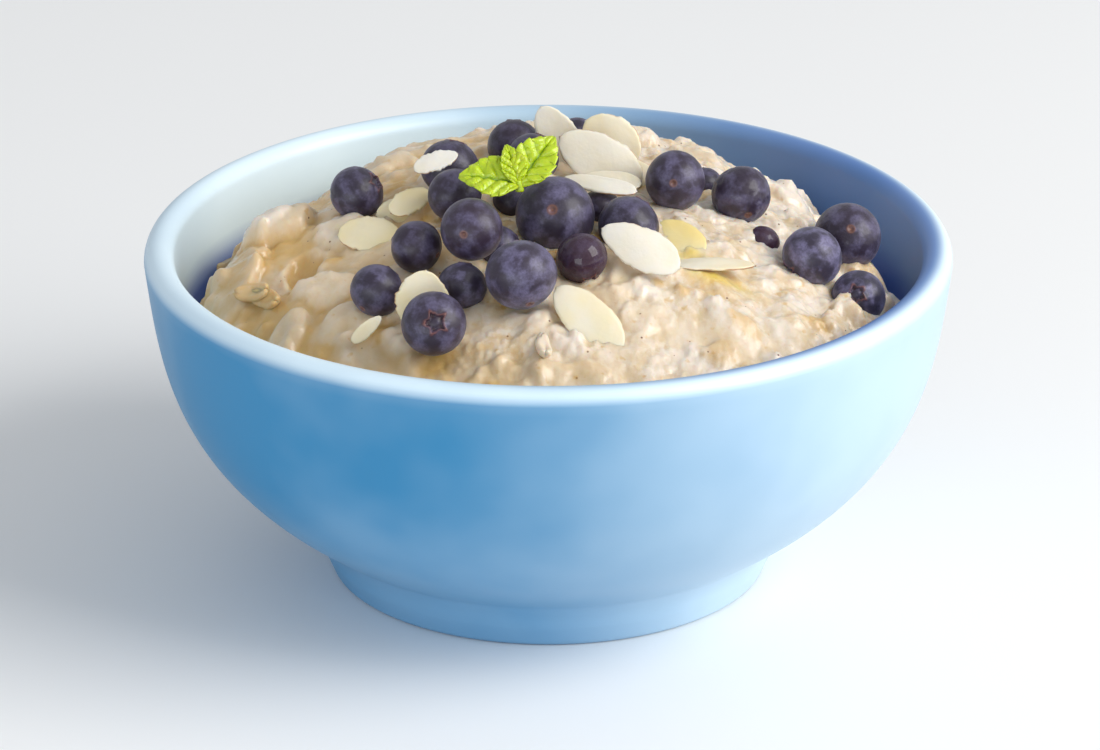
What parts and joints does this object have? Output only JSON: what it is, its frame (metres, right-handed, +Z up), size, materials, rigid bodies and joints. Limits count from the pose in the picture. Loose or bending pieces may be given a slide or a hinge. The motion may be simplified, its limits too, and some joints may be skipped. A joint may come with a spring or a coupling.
{
  "type": "bowl of porridge",
  "caption": "Deep glazed bowl on a small foot ring, heaped with thick oat porridge and topped with blueberries, flaked almonds and a mint sprig.",
  "frame": {"origin": "under the middle of the bowl, on the plane that its foot ring stands on", "axes": "+Z up; -Y towards the side seen from the front, +X to its right"},
  "size_m": [0.16, 0.16, 0.0963],
  "materials": {
    "glaze": "pale blue gloss glaze on stoneware",
    "porridge": "moist oat porridge",
    "blueberry": "dark blue skin with a pale bloom",
    "almond": "cream sliced almond",
    "mint": "fresh green leaf"
  },
  "bodies": {
    "root": {"bowl": "glaze", "porridge": "porridge", "blueberry_01": "blueberry", "blueberry_02": "blueberry", "blueberry_03": "blueberry", "blueberry_04": "blueberry", "blueberry_05": "blueberry", "blueberry_06": "blueberry", "blueberry_07": "blueberry", "blueberry_08": "blueberry", "blueberry_09": "blueberry", "blueberry_10": "blueberry", "blueberry_11": "blueberry", "blueberry_12": "blueberry", "blueberry_13": "blueberry", "blueberry_14": "blueberry", "blueberry_15": "blueberry", "blueberry_16": "blueberry", "blueberry_17": "blueberry", "blueberry_18": "blueberry", "blueberry_19": "blueberry", "blueberry_20": "blueberry", "blueberry_21": "blueberry", "blueberry_22": "blueberry", "blueberry_23": "blueberry", "blueberry_24": "blueberry", "blueberry_25": "blueberry", "almond_flake_01": "almond", "almond_flake_02": "almond", "almond_flake_03": "almond", "almond_flake_04": "almond", "almond_flake_05": "almond", "almond_flake_06": "almond", "almond_flake_07": "almond", "almond_flake_08": "almond", "almond_flake_09": "almond", "almond_flake_10": "almond", "almond_flake_11": "almond", "almond_flake_12": "almond", "almond_flake_13": "almond", "almond_flake_14": "almond", "almond_flake_15": "almond", "almond_flake_16": "almond", "mint_sprig": "mint"}
  },
  "joints": []
}
